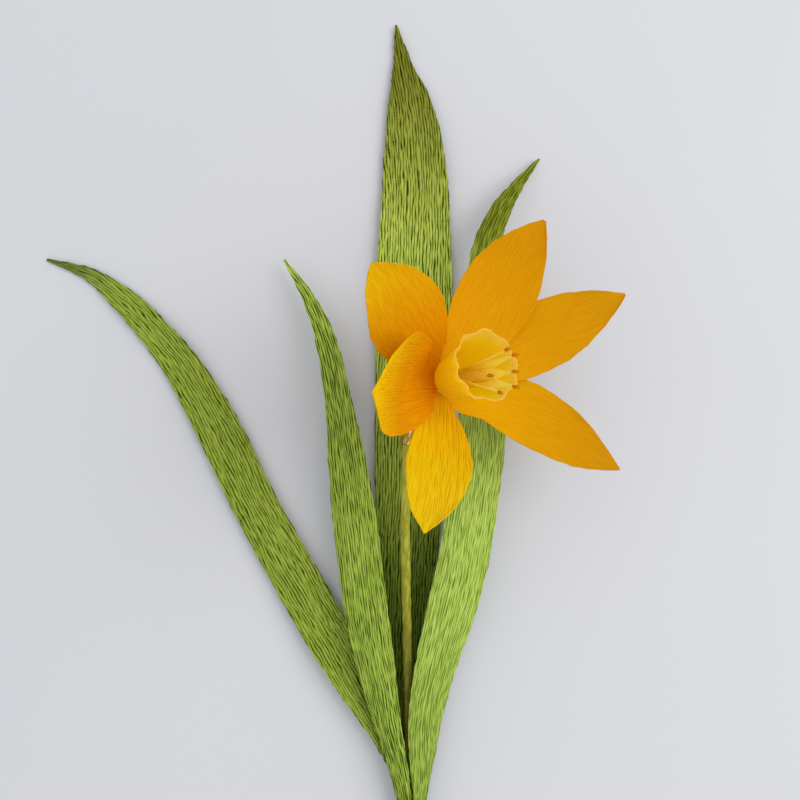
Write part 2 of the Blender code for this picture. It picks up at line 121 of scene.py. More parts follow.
# Petals, clockwise from the top one: azimuth at the foot and further out, length, half width, lean off the
# axis at foot and tip, layer, edge lift at foot and tip, roll to one side in degrees, sideways bend at the
# tip.
PETALS = (
    ("petal_1", 78, 59, 57, 12.2, 84, 50, 1.9, 1.2, 1.0, -9, 4.4),
    ("petal_2", 18, 27.5, 62.5, 10.9, 83, 44, 0.9, 0.9, 1.2, -3, 1.6),
    ("petal_3", -42, -8, 57.5, 10.7, 83, 66, 0.0, 0.9, 1.0, 0, -16.6),
    ("petal_4", 258, 259, 52.8, 9.8, 68, 54, 1.2, 1.6, 1.6, 8, -10.8),
    ("petal_5", 198, 194, 49.5, 13.0, 58, 40, 3.4, 3.0, 3.2, -27, 3.2),
    ("petal_6", 138, 141, 48.2, 13.2, 60, 49, 2.6, 1.4, 1.6, -7, 6.0),
)
PETAL_FOOT_RADIUS = 3.1
LAYER_STEP = FRAME_PETAL + FIT_GAP
FIRST_LAYER = NECK_TOP + FIT_GAP + FRAME_PETAL / 2
# A petal's outline: share of its length, and share of its half width there.
PETAL_OUTLINE = (
    (0.0, 0.30),
    (0.10, 0.42),
    (0.25, 0.72),
    (0.38, 0.93),
    (0.50, 1.0),
    (0.62, 0.97),
    (0.74, 0.82),
    (0.85, 0.57),
    (0.94, 0.27),
    (1.0, 0.03),
)
FOOT_WRAP = math.radians(28.5)
OUTER_WRAP = math.radians(46)
RIPPLE = 0.45
PETAL_DEPTH = 0.055
PETAL_PITCH = 0.72
PETAL_RUN = 8.0
PETAL_GRID = (140, 80)

# Stamens: side of the wire that the strip starts on in degrees, tip height above the bloom's foot, tip offset
# across the cup to the right and up, turn of the strip in degrees.
STAMENS = (
    (110, 34.5, -0.2, 1.8, 10),
    (50, 35.5, 1.3, 0.4, 40),
    (-10, 34.0, 2.1, -3.5, 60),
    (-70, 33.0, 2.8, -7.2, 80),
    (-130, 31.0, -0.4, -8.6, 60),
    (170, 25.0, 0.3, -2.8, 30),
)
STRIP_HALF_WIDTH = 0.65
STRIP_TIP_SHARE = 0.65
STRIP_BULGE = 1.30
STRIP_GRID = (10, 60)
STRIP_RING = len(STAMENS) * (2 * STRIP_HALF_WIDTH + FIT_GAP) / (2 * math.pi)
ANTHER_LENGTH = 2.8
ANTHER_RADIUS = 0.55
ANTHER_GRID = (28, 36)

# The cup: height above its own foot and radius, then its scalloped rim.
TOP_LAYER = max(row[7] for row in PETALS)
CUP_FOOT = FIRST_LAYER + TOP_LAYER * LAYER_STEP + FRAME_PETAL / 2 + FIT_GAP + FRAME_CUP / 4
CUP_FOOT_RADIUS = STRIP_RING + (FRAME_STRIP + FRAME_CUP) / 2 + FIT_GAP
CUP_SIDE = (
    (0.0, CUP_FOOT_RADIUS),
    (1.6, 4.1),
    (4.7, 5.9),
    (9.7, 7.0),
    (14.7, 7.7),
    (18.7, 8.2),
    (21.7, 9.0),
    (23.7, 9.9),
)
CUP_LOBES = 9
CUP_RIM_WAVE = 0.5
CUP_RIM_NOTCH = 1.0
CUP_DEPTH = 0.050
CUP_RIDGES = 84
CUP_RUN = 4.5
CUP_GRID = (300, 60)

# Leaves: the foot's side of the stem in degrees, ring radius and half width, then rows of x, y, height of
# the underside, half width, side that it faces away from, and the radius that its section bends to.
TALL_FOOT = (275, MIDDLE_RING, 2.6)
TALL_LEAF = (
    (3.5, -147.0, 1.70, 3.1, 275, 3.8),
    (3.0, -136.0, 1.05, 3.7, 273, 5.6),
    (2.2, -120.0, 0.40, 4.6, 272, 9.5),
    (1.6, -103.0, 0.22, 6.2, 271, 14.0),
    (1.4, -85.0, 0.18, 8.2, 270, 22.0),
    (2.2, -60.0, 0.15, 10.6, 270, 34.0),
    (3.4, -36.0, 0.15, 12.3, 270, 42.0),
    (4.0, -14.0, 0.15, 13.0, 270, 45.0),
    (4.8, 18.0, 0.15, 13.8, 270, 45.0),
    (5.1, 43.0, 0.20, 13.6, 270, 42.0),
    (5.4, 64.0, 0.30, 12.5, 270, 38.0),
    (5.2, 82.0, 0.40, 11.4, 270, 34.0),
    (3.7, 103.0, 0.50, 8.2, 270, 28.0),
    (0.7, 120.0, 0.70, 3.2, 270, 20.0),
    (-1.4, 133.0, 0.90, 0.4, 270, 16.0),
)
FAR_LEFT_FOOT = (205, INNER_RING, 2.0)
FAR_LEFT_LEAF = (
    (1.2, -147.0, 3.65, 2.4, 208, 2.7),
    (0.1, -137.0, 3.55, 3.0, 214, 4.2),
    (-2.6, -126.0, 3.55, 4.2, 226, 7.0),
    (-6.8, -115.0, 3.40, 5.4, 239, 11.0),
    (-18.8, -94.0, 2.75, 7.5, 256, 22.0),
    (-29.4, -75.5, 2.35, 8.2, 265, 30.0),
    (-40.4, -56.3, 1.95, 8.2, 268, 34.0),
    (-51.4, -36.5, 1.55, 8.0, 270, 36.0),
    (-64.2, -10.2, 1.25, 7.8, 270, 34.0),
    (-76.4, 10.6, 1.05, 6.7, 270, 30.0),
    (-86.7, 23.8, 0.85, 5.6, 270, 26.0),
    (-98.0, 35.4, 0.65, 4.4, 270, 22.0),
    (-110.0, 44.4, 0.45, 2.4, 270, 18.0),
    (-125.6, 49.9, 0.15, 0.4, 270, 14.0),
)
LEFT_FOOT = (125, OUTER_RING, 2.5)
LEFT_LEAF = (
    (1.4, -148.0, 7.85, 2.7, 123, 4.1),
    (0.9, -138.0, 8.9, 3.0, 119, 5.0),
    (-1.1, -126.8, 10.0, 4.0, 112, 7.0),
    (-5.1, -109.3, 10.9, 5.5, 105, 10.5),
    (-9.6, -85.7, 11.75, 7.2, 99, 16.0),
    (-12.4, -68.0, 12.25, 7.8, 96, 20.0),
    (-15.3, -43.6, 12.35, 7.7, 94, 24.0),
    (-18.1, -21.2, 11.95, 6.5, 92, 24.0),
    (-21.2, 0.0, 10.95, 4.6, 90, 20.0),
    (-25.6, 20.7, 9.35, 3.6, 88, 16.0),
    (-31.9, 35.7, 7.35, 2.1, 85, 12.0),
    (-40.6, 49.0, 4.75, 0.4, 80, 10.0),
)
RIGHT_FOOT = (40, OUTER_RING, 2.5)
RIGHT_LEAF = (
    (6.7, -148.0, 7.3, 2.9, 44, 4.1),
    (7.8, -138.0, 8.3, 3.6, 50, 4.8),
    (8.6, -125.0, 9.7, 5.3, 60, 6.5),
    (9.7, -109.0, 11.2, 6.8, 69, 10.0),
    (12.8, -91.3, 12.35, 7.9, 76, 15.0),
    (17.4, -73.4, 13.35, 8.8, 81, 20.0),
    (21.6, -55.0, 14.25, 8.7, 85, 26.0),
    (24.8, -34.4, 15.15, 8.6, 88, 30.0),
    (27.3, -13.8, 15.95, 8.3, 90, 32.0),
    (28.5, 10.0, 16.35, 7.8, 90, 30.0),
    (28.6, 34.0, 15.35, 6.6, 90, 26.0),
    (29.4, 51.0, 13.35, 5.0, 90, 22.0),
    (34.3, 64.4, 10.55, 3.6, 90, 18.0),
    (41.6, 75.6, 5.95, 1.9, 90, 14.0),
    (49.3, 85.4, 1.15, 0.4, 90, 12.0),
)
# The bract: how far its foot reaches below the joint of stem and neck, its half width there, then rows like
# a leaf's, measured from that joint.
BRACT_BELOW = 9.0
BRACT_FOOT_HALF = 2.0
BRACT = (
    (1.0, 12.0, -3.6, 4.2, 270, 5.2),
    (2.1, 21.0, -2.8, 4.3, 270, 7.0),
    (3.2, 29.0, -2.4, 3.4, 270, 9.0),
    (4.2, 36.0, -2.6, 1.8, 270, 9.0),
    (5.0, 42.0, -3.4, 0.3, 270, 9.0),
)
BRACT_GRID = (36, 120)
LEAF_WAVE = 0.5

# The crinkle of long strips: its depth, pitch and run in millimetres, and how unevenly the slits open.
LEAF_CRINKLE = (0.22, 1.00, 5.0, 0.9)
SIDE_CRINKLE = (0.14, 0.76, 6.0, 0.55)
FINE_CRINKLE = (0.10, 0.85, 6.0, 1.0)

# The wound tape's pitch, the band's grid, and how close points lie that a seam joins.
WOUND_PITCH = 0.9
BAND_GRID = (72, 60)
SEAM_REACH = 0.004
FINE_SEAM_REACH = 0.0005


def frame_shift():
    """The move in millimetres from the working frame to the frame itself, read off the leaf binding."""
    low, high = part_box("leaf_binding")
    middle = (low + high) / 2 / MM
    return middle - Vector((STEM_X, (BAND_FROM + BAND_TO) / 2, BED_HEIGHT))


SHIFT = frame_shift()


def ease(x):
    x = min(max(x, 0.0), 1.0)
    return x * x * (3 - 2 * x)


def along_rows(rows, t):
    """The row at t from 0 to 1 of a smooth curve through rows of numbers."""
    place = min(max(t, 0.0), 1.0) * (len(rows) - 1)
    i = min(int(place), len(rows) - 2)
    f = place - i
    before, a, b, after = rows[max(i - 1, 0)], rows[i], rows[i + 1], rows[min(i + 2, len(rows) - 1)]
    found = []
    for p, q, r, s in zip(before, a, b, after):
        bend = (2 * p - 5 * q + 4 * r - s) * f * f + (3 * q - p - 3 * r + s) * f * f * f
        found.append(q + 0.5 * ((r - p) * f + bend))
    return found


def height_of(table, t):
    """The value at t of a line through (t, value) pairs."""
    for (t0, v0), (t1, v1) in zip(table, table[1:]):
        if t <= t1:
            return v0 + (v1 - v0) * (t - t0) / (t1 - t0)
    return table[-1][1]


def crepe(across, along, pitch, run, seed, uneven=1.0):
    """The crinkle's height, about -1 to 1, at a place on flat crepe paper: round ridges about a pitch apart,
    with narrow slits between them that wander, open and close again as they run. uneven is how much."""
    drift = 0.6 * noise.noise(Vector((across / 6.0, along / 20.0, seed)))
    wander = noise.noise(Vector((across / (1.5 * pitch), along / run, seed + 3.1)))
    opening = noise.noise(Vector((across / (0.6 * pitch), along / (0.6 * run), seed + 5.3)))
    fine = noise.noise(Vector((across / (0.42 * pitch), along / (0.5 * run), seed + 7.7)))
    return ridged(math.pi * (across + drift) / pitch + 1.7 * wander, uneven * opening, fine)


def ridged(phase, opening, fine):
    """The height of parallel ridges with a slit at each half turn of the phase, as deep as opening says."""
    slit = (1 - abs(math.sin(phase)) ** 0.8) * (1 + 1.5 * opening)
    return max(0.95 - 1.8 * slit + 0.60 * fine, -1.1)


def crinkled(slit, fine):
    """The height that two noises give: a slit where the first one passes through nought."""
    return 1.35 * min(abs(slit) * 2.6, 1.0) - 0.80 + 0.38 * fine


def ragged(along, side, seed):
    """How far a cut edge wanders out or in, in millimetres."""
    side_row = 9.0 if side > 0 else 4.0
    coarse = noise.noise(Vector((along / 3.2, side_row, seed + 21.0)))
    return 0.20 * coarse + 0.12 * noise.noise(Vector((along / 0.9, side_row, seed + 31.0)))


def move_home(work):
    """Takes a shape from millimetres on the working frame to its place in the frame, in metres."""
    for vertex in work.verts:
        vertex.co = (vertex.co + SHIFT) * MM


def finish_mesh(name, work, paint):
    """Makes the object of a finished bmesh, shaded smooth, and lets it ride on the frame."""
    mesh = bpy.data.meshes.new(name)
    work.to_mesh(mesh)
    work.free()
    for face in mesh.polygons:
        face.use_smooth = True
    thing = bpy.data.objects.new(name, mesh)
    bpy.context.scene.collection.objects.link(thing)
    mesh.materials.append(paint)
    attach(thing, "root")
    return thing


def paper_grid(across, along):
    """A flat grid half a unit to each side, with the paper's UV map and a layer for the crinkle's height."""
    work = bmesh.new()
    work.loops.layers.uv.new("paper")
    crinkle = work.verts.layers.float.new("crinkle")
    bmesh.ops.create_grid(work, x_segments=across, y_segments=along, size=0.5, calc_uvs=True)
    return work, crinkle


def sheet(name, across, along, place, thickness, paint, closed=False):
    """A thin paper piece: a grid moved by place(u, v), which gives each point and how high its crinkle stands
    there. A modifier then gives it its thickness."""
    work, crinkle = paper_grid(across, along)
    for vertex in work.verts:
        spot, height = place(vertex.co.x + 0.5, vertex.co.y + 0.5)
        vertex[crinkle] = 0.5 + 0.5 * height
        vertex.co = spot
    if closed:
        bmesh.ops.remove_doubles(work, verts=work.verts, dist=SEAM_REACH)
    bmesh.ops.recalc_face_normals(work, faces=work.faces)
    move_home(work)
    thing = finish_mesh(name, work, paint)
    thickener = thing.modifiers.new("paper", "SOLIDIFY")
    thickener.thickness = thickness * MM
    thickener.offset = 0.0
    return thing


def tube(name, sides, rings, place, paint):
    """A closed wall from place(u, w, outside): rows run along the outside, back along the bore and meet."""
    bore = max(2, rings // 8)
    rows = rings + bore + 2
    work, crinkle = paper_grid(sides, rows)
    for vertex in work.verts:
        row = round((vertex.co.y + 0.5) * rows) % rows
        outside = row <= rings
        w = row / rings if outside else (rows - 1 - row) / bore
        spot, height = place(vertex.co.x + 0.5, w, outside)
        vertex[crinkle] = 0.5 + 0.5 * height
        vertex.co = spot
    bmesh.ops.remove_doubles(work, verts=work.verts, dist=SEAM_REACH)
    bmesh.ops.recalc_face_normals(work, faces=work.faces)
    move_home(work)
    return finish_mesh(name, work, paint)


def stem_lengths(steps=400):
    """Distance travelled along the wire at each of the steps."""
    travelled = [0.0]
    for i in range(steps):
        step = Vector(along_rows(STEM_PATH, (i + 1) / steps)) - Vector(along_rows(STEM_PATH, i / steps))
        travelled.append(travelled[-1] + step.length)
    return travelled


TRAVELLED = stem_lengths()
NECK_END = TRAVELLED[-1]
NECK_START = NECK_END - NECK_LENGTH


def stem_point(distance):
    """Point, direction and the wrap's outer radius at a distance from the cut end."""
    steps = len(TRAVELLED) - 1
    i = 0
    while i < steps - 1 and TRAVELLED[i + 1] < distance:
        i += 1
    f = (distance - TRAVELLED[i]) / (TRAVELLED[i + 1] - TRAVELLED[i])
    t = min((i + f) / steps, 1.0)
    here = Vector(along_rows(STEM_PATH, t))
    ahead = Vector(along_rows(STEM_PATH, min(t + 0.002, 1.0)))
    behind = Vector(along_rows(STEM_PATH, max(t - 0.002, 0.0)))
    bare = BAND_TO - STEM_END
    swelled = ease((distance - bare) / (NECK_START - bare))
    radius = STEM_FOOT_RADIUS + (STEM_TOP_RADIUS - STEM_FOOT_RADIUS) * swelled
    radius += (NECK_TOP_RADIUS - STEM_TOP_RADIUS) * ease((distance - NECK_START) / NECK_LENGTH)
    return here, (ahead - behind).normalized(), radius


def wound_wrap(name, node, start, end, paint, rings, sides, turns, seam, flare, seed):
    """Crepe tape wound round the wire: each turn lies over the edge of the last, so its seam climbs. seam is
    how far that edge stands up, flare how much the wrap widens at its end, seed the place in the noise."""
    stations = [stem_point(start + (end - start) * i / rings) for i in range(rings + 1)]

    def place(u, w, outside):
        centre, forward, radius = stations[round(w * rings)]
        angle = 2 * math.pi * u
        height = 0.0
        wide = WRAP_BORE
        if outside:
            along = (end - start) * w
            place_in_turn = (w * turns - u) % 1.0
            step = seam * (1 - ease(place_in_turn / 0.9)) * ease(place_in_turn / 0.06)
            # The crepe's ridges climb with the tape, so the angle drifts along the stem.
            round_way = math.sin(angle + along / 9.0)
            other_way = math.cos(angle + along / 9.0)
            across = round_way * radius / WOUND_PITCH
            beside = other_way * radius / WOUND_PITCH
            spot = Vector((across, beside, along / 5.0 + seed))
            height = crinkled(noise.noise(spot), noise.noise(spot * 2.3))
            lump = noise.noise(Vector((round_way * 0.7, other_way * 0.7, along / 7.0 + seed + 9.0)))
            wide = radius - 0.05 + step + 0.08 * height + 0.10 * lump + flare * ease((w - 0.86) / 0.14)
            # Painted shade: the crinkle value drops along each turn's lapped edge, so the valley tint darkens
            # a line there.
            height -= 0.45 * (1 - ease(abs(place_in_turn - 0.02) / 0.06))
        sideways = (Vector((1, 0, 0)) - forward * forward.x).normalized()
        upward = sideways.cross(forward)
        return centre + (sideways * math.cos(angle) + upward * math.sin(angle)) * wide, height

    thing = tube(name, sides, rings, place, paint)
    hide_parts(node)
    return thing


def bound(foot):
    """The two rows of a leaf's foot inside the binding: on its ring round the stem."""
    side, radius, half = foot
    x = STEM_X + radius * math.cos(math.radians(side))
    z = BED_HEIGHT + radius * math.sin(math.radians(side)) - FRAME_LEAF / 2
    return ((x, BAND_FROM + 1.0, z, half, side, radius), (x, BAND_TO + 2.0, z, half, side, radius))


def clasp():
    """The bract's rows: two behind the stem, up to its joint with the neck, then the free blade."""
    rows = []
    for distance, half in ((NECK_START - BRACT_BELOW, BRACT_FOOT_HALF), (NECK_START, BRACT_FOOT_HALF * 1.2)):
        centre, forward, radius = stem_point(distance)
        apart = radius + FIT_GAP + FRAME_BRACT / 2
        drop = apart / forward.y + FRAME_BRACT / 2
        rows.append((centre.x, centre.y, centre.z - drop, half, 270, apart + 0.7))
    joint = stem_point(NECK_START)[0]
    for x, y, z, half, side, bend in BRACT:
        rows.append((joint.x + x, joint.y + y, joint.z + z, half, side, bend))
    return tuple(rows)


def strip(name, node, rows, across, along, thickness, frame_paper, paint, crinkle, wave=0.0, phase=0.0):
    """A long strip of crepe with a bent section, following rows of x, y, z, half width, side and bend radius.
    crinkle is the ridges' depth, pitch and run in millimetres, and how unevenly the slits open."""
    depth, pitch, run, uneven = crinkle
    stations = []
    travelled = 0.0
    before = None
    for i in range(along + 1):
        v = i / along
        x, y, z, half, side, bend = along_rows(rows, v)
        spot = Vector((x, y, z + frame_paper / 2))
        ahead = Vector(along_rows(rows, v + 0.004)[:3]) - Vector(along_rows(rows, v - 0.004)[:3])
        ahead.normalize()
        angle = math.radians(side)
        inward = Vector((-math.cos(angle), 0.0, -math.sin(angle)))
        inward = (inward - ahead * inward.dot(ahead)).normalized()
        if before is not None:
            travelled += (spot - before).length
        before = spot
        stations.append((spot, ahead.cross(inward), inward, half, bend, travelled))

    def place(u, v):
        spot, wide, inward, half, bend, far = stations[round(v * along)]
        side_way = 2 * u - 1
        edge = abs(side_way)
        w = side_way * (half + 1.7 * ragged(far, side_way, phase) * edge * ease(half / 2))
        lift = wave * edge * edge * ease(half / 6) * math.sin(9 * math.pi * v + 3 * u + phase)
        height = crepe(w, far, pitch, run, phase * 5.0, uneven)
        turn = w / bend
        normal = inward * math.cos(turn) - wide * math.sin(turn)
        smooth = spot + wide * (bend * math.sin(turn)) + inward * (bend * (1 - math.cos(turn)) + lift)
        return smooth + normal * (depth * height * ease(half / 1.5)), height

    thing = sheet(name, across, along, place, thickness, paint)
    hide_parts(node)
    return thing


def petal(row, paint):
    """One petal: a spine that leans out from the ring round the cup, with the crepe spread to both sides."""
    name, foot, azimuth, length, half, lean_foot, lean_tip, layer, lift_foot, lift_tip, roll, sideways = row
    steps = 60
    spine = [(PETAL_FOOT_RADIUS, FIRST_LAYER + layer * LAYER_STEP)]
    leans = []
    for i in range(steps + 1):
        leans.append(math.radians(lean_foot + (lean_tip - lean_foot) * ease((i / steps) * 0.92 + 0.04)))
    for i in range(steps):
        radius, high = spine[-1]
        outwards = math.sin(leans[i]) * length / steps
        upwards = math.cos(leans[i]) * length / steps
        spine.append((radius + outwards, high + upwards))

    def place(u, v):
        i = min(int(v * steps), steps - 1)
        f = v * steps - i
        radius = spine[i][0] * (1 - f) + spine[i + 1][0] * f
        high = spine[i][1] * (1 - f) + spine[i + 1][1] * f
        lean = leans[i] * (1 - f) + leans[i + 1] * f
        side_way = 2 * u - 1
        edge = abs(side_way)
        far = v * length
        reach = height_of(PETAL_OUTLINE, v) * half
        reach = min(reach, radius * (FOOT_WRAP + (OUTER_WRAP - FOOT_WRAP) * ease((radius - 4) / 12)))
        w = side_way * (reach + ragged(far, side_way, azimuth) * edge * ease(v * 3) * ease(reach / 2))
        # Near the foot the petal follows the ring round the cup; further out it spreads straight.
        wrap = 1 - ease((radius - 6) / 22)
        turn = w / radius * wrap
        straight = w * (1 - wrap)
        angle = math.radians(foot + (azimuth - foot) * ease(v * 4)) + turn
        outward = CUP_RIGHT * math.cos(angle) + CUP_UP * math.sin(angle)
        around = CUP_UP * math.cos(angle) - CUP_RIGHT * math.sin(angle)
        normal = CUP_AXIS * math.sin(lean) - outward * math.cos(lean)
        lift = lift_foot + (lift_tip - lift_foot) * v
        lift *= edge * edge * (reach / half) * ease(v * 3)
        swing = math.sin(5.5 * math.pi * v + 2.2 * u + layer + azimuth)
        lift += RIPPLE * edge * edge * edge * ease(v * 2.2 - 0.3) * swing
        tilt = math.tan(math.radians(roll)) * w * ease(v * 2)
        bend = sideways * v * v
        gather = 0.10 * (1 - ease(v / 0.35)) * ease(v / 0.05) * math.sin(5.0 * w)
        height = crepe(w, far, PETAL_PITCH, PETAL_RUN, azimuth)
        height = height * ease(v * 8)
        spot = BLOOM_FOOT + outward * radius + CUP_AXIS * high
        raised = lift + tilt + gather + PETAL_DEPTH * PETAL_GOLDS[name][3] * height
        return spot + around * (straight + bend) + normal * raised, height

    thing = sheet(name + "_crepe", *PETAL_GRID, place, PETAL_PAPER, paint)
    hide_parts(name)
    return thing


def cup(paint):
    """The trumpet: a tube of crepe that widens, with a frilled and cut rim."""

    def place(u, v):
        angle = 2 * math.pi * u
        high, radius = along_rows(CUP_SIDE, v)
        high += CUP_FOOT
        flare = ease((v - 0.55) / 0.45)
        wave = math.sin(CUP_LOBES * angle + 0.9 * math.sin(2 * angle))
        radius += CUP_RIM_WAVE * flare * wave
        notch = 0.5 + 0.5 * math.sin(CUP_LOBES * angle + 1.6)
        high -= CUP_RIM_NOTCH * flare * notch * (0.6 + 0.4 * math.sin(3 * angle))
        round_way = Vector((math.cos(angle), math.sin(angle), 0.0)) * radius
        frill = noise.noise(Vector((round_way.x / 1.1, round_way.y / 1.1, 3.0)))
        radius += 0.30 * frill * ease((v - 0.75) / 0.25)
        nick = noise.noise(Vector((round_way.x / 0.9, round_way.y / 0.9, 8.0)))
        high += 0.35 * nick * ease((v - 0.9) / 0.1)
        wander = noise.noise(Vector((round_way.x / 2.0, round_way.y / 2.0, high / CUP_RUN)))
        opening = noise.noise(Vector((round_way.x / 0.8, round_way.y / 0.8, high / CUP_RUN + 5.0)))
        fine = noise.noise(Vector((round_way.x / 0.4, round_way.y / 0.4, high / CUP_RUN + 9.0)))
        height = ridged(CUP_RIDGES * angle / 2 + 2.0 * wander, opening, fine)
        out = CUP_RIGHT * math.cos(angle) + CUP_UP * math.sin(angle)
        return BLOOM_FOOT + CUP_AXIS * high + out * (radius + CUP_DEPTH * height), height

    thing = sheet("trumpet_crepe", *CUP_GRID, place, CUP_PAPER, paint, closed=True)
    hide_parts("cup")
    return thing


def stamen(number, row, strip_paint, anther_paint):
    """One cut strip of crepe, and its rolled tip."""
    side, high, right, up, turn = row
    slot = math.radians(side)
    out = CUP_RIGHT * math.cos(slot) + CUP_UP * math.sin(slot)
    foot = BLOOM_FOOT + CUP_AXIS * CUP_FOOT + out * STRIP_RING
    tip = BLOOM_FOOT + CUP_AXIS * high + CUP_RIGHT * right + CUP_UP * up
    across = tip - foot - CUP_AXIS * (high - CUP_FOOT)
    middle = foot + CUP_AXIS * ((high - CUP_FOOT) * 0.55) + across * 0.25

    def spine(t):
        return foot * (1 - t) * (1 - t) + middle * 2 * t * (1 - t) + tip * t * t

    def place(u, v):
        ahead = (spine(v + 0.01) - spine(v - 0.01)).normalized()
        wide = ahead.cross(out).normalized()
        twist = math.radians(turn) * v * v
        turned = wide * math.cos(twist) + ahead.cross(wide) * math.sin(twist)
        flat = ahead.cross(turned)
        half = STRIP_HALF_WIDTH * (1 - (1 - STRIP_TIP_SHARE) * v)
        half += STRIP_BULGE * ease(v / 0.5) * ease((1 - v) / 0.35)
        half *= 1 + 0.10 * noise.noise(Vector((v * 14, u, number)))
        height = crepe((2 * u - 1) * half, v * (high - CUP_FOOT), 0.5, 3.0, number * 4.0)
        curl = 0.22 * (2 * u - 1) * (2 * u - 1)
        return spine(v) + turned * (2 * u - 1) * half + flat * (curl + 0.05 * height), height

    strip_piece = sheet(f"filament_{number + 1}_strip", *STRIP_GRID, place, STRIP_PAPER, strip_paint)
    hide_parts(f"filament_{number + 1}")

    way = (spine(1.0) - spine(0.97)).normalized()
    start = tip + way * (FIT_GAP / 2)
    way = (way + CUP_RIGHT * (0.3 * ease(right))).normalized()
    aside = way.cross(CUP_UP).normalized()
    beside = way.cross(aside)

    def rolled(u, v):
        angle = 2 * math.pi * u
        share = (0.30 + 0.75 * ease(v / 0.22)) * (1 - 0.62 * ease((v - 0.55) / 0.45))
        lap = 0.13 * ((u + 0.15 * v) % 1.0)
        height = 1.2 * noise.noise(Vector((math.cos(angle) * 2.0, math.sin(angle) * 2.0, v * 3.0 + number)))
        wide = ANTHER_RADIUS * share * (0.80 + lap) + 0.045 * height
        if v < 0.001 or v > 0.999:
            wide = 0.0
        around = aside * math.cos(angle) + beside * math.sin(angle)
        return start + way * (ANTHER_LENGTH * v) + around * wide, height

    work, crinkle = paper_grid(*ANTHER_GRID)
    for vertex in work.verts:
        u = vertex.co.x + 0.5
        spot, height = rolled(u if u < 0.9999 else 0.0, vertex.co.y + 0.5)
        vertex[crinkle] = 0.5 + 0.5 * height
        vertex.co = spot
    bmesh.ops.remove_doubles(work, verts=work.verts, dist=FINE_SEAM_REACH)
    bmesh.ops.recalc_face_normals(work, faces=work.faces)
    move_home(work)
    tip_piece = finish_mesh(f"anther_{number + 1}_roll", work, anther_paint)
    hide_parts(f"anther_{number + 1}")
    return [strip_piece, tip_piece]


def binding(paint):
    """A band of crepe wound round the leaf feet."""

    def place(u, w, outside):
        angle = 2 * math.pi * u
        y = BAND_FROM + (BAND_TO - BAND_FROM) * w
        height = 0.0
        radius = BAND_BORE
        if outside:
            place_in_turn = (w * 3.2 - u) % 1.0
            step = 0.12 * (1 - ease(place_in_turn / 0.9)) * ease(place_in_turn / 0.05)
            way = Vector((math.cos(angle + y / 14), 0.0, math.sin(angle + y / 14))) * (radius / 0.9)
            way.y = y / 6.0
            height = crinkled(noise.noise(way), noise.noise(way * 2.1))
            radius += BAND_PAPER - 0.20 + step + 0.07 * height
            # Painted shade: the crinkle value drops along each turn's lapped edge, so the valley tint darkens
            # a line there.
            height -= 0.9 * (1 - ease(abs(place_in_turn - 0.02) / 0.08))
        return Vector((STEM_X + radius * math.cos(angle), y, BED_HEIGHT + radius * math.sin(angle))), height

    thing = tube("leaf_binding_wound", *BAND_GRID, place, paint)
    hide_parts("leaf_binding")
    return thing


def socket(group, name, kind, way, value=None):
    made = group.interface.new_socket(name=name, in_out=way, socket_type=kind)
    if value is not None:
        made.default_value = value
    return made


def join(tree, source, target):
    tree.links.new(source, target)


def math_node(tree, operation, first, second=None, clamp=False):
    node = tree.nodes.new("ShaderNodeMath")
    node.operation = operation
    node.use_clamp = clamp
    for slot, value in enumerate((first, second)):
        if value is None:
            continue
        if isinstance(value, (int, float)):
            node.inputs[slot].default_value = value
        else:
            join(tree, value, node.inputs[slot])
    return node.outputs["Value"]


def blend_colours(tree, share, first, second, mode="MIX"):
    node = tree.nodes.new("ShaderNodeMix")
    node.data_type = "RGBA"
    node.blend_type = mode
    for slot, value in ((0, share), (6, first), (7, second)):
        if isinstance(value, (int, float, tuple)):
            node.inputs[slot].default_value = value
        else:
            join(tree, value, node.inputs[slot])
    return node.outputs[2]


